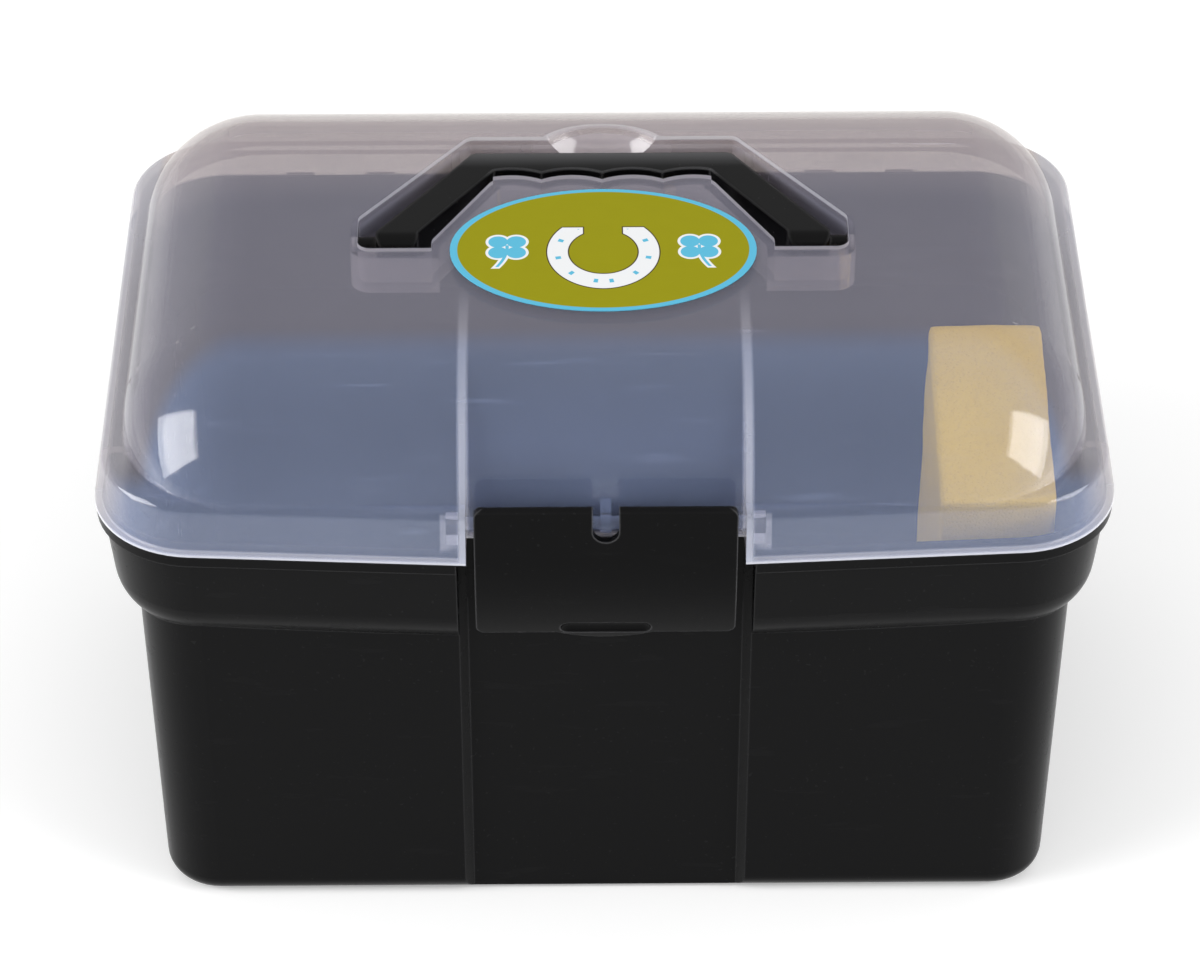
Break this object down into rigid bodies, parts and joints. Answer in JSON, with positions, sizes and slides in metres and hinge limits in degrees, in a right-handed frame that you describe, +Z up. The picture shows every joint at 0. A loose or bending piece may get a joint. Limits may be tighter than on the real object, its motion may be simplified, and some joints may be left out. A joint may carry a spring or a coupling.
{
  "type": "grooming box",
  "caption": "Carry box with a black tub, a hinged translucent domed lid, a folding handle sunk in the lid and a front latch; holds brushes and small tools.",
  "frame": {"origin": "centre of the flat underside of the tub", "axes": "+X to the right seen from the latch side, +Y to the hinge side, +Z up"},
  "size_m": [0.3, 0.2077, 0.1934],
  "materials": {
    "black_plastic": "injection moulded, glossy black",
    "clear_plastic": "injection moulded, milky translucent, glossy",
    "handle_plastic": "injection moulded, satin black",
    "latch_plastic": "injection moulded, glossy black",
    "pin_steel": "drawn wire",
    "label_paper": "glossy printed oval label",
    "foam": "open-cell foam"
  },
  "bodies": {
    "tub": {"tub": "black_plastic", "hinge_pin_left": "pin_steel", "hinge_pin_right": "pin_steel", "sponge": "foam"},
    "lid": {"lid": "clear_plastic", "lid_label": "label_paper"},
    "handle": {"handle": "handle_plastic"},
    "latch": {"latch": "latch_plastic"}
  },
  "joints": [
    {"name": "lid_hinge", "type": "hinge", "parent": "tub", "child": "lid", "pos_m": [0, 0.104, 0.136], "axis": [-1, 0, 0], "range_deg": [0, 105]},
    {"name": "handle_pivot", "type": "hinge", "parent": "lid", "child": "handle", "pos_m": [0, 0.0015, 0.1855], "axis": [1, 0, 0], "range_deg": [0, 95]},
    {"name": "latch_pivot", "type": "hinge", "parent": "lid", "child": "latch", "pos_m": [0, -0.0924, 0.1536], "axis": [-1, 0, 0], "range_deg": [0, 65]}
  ]
}
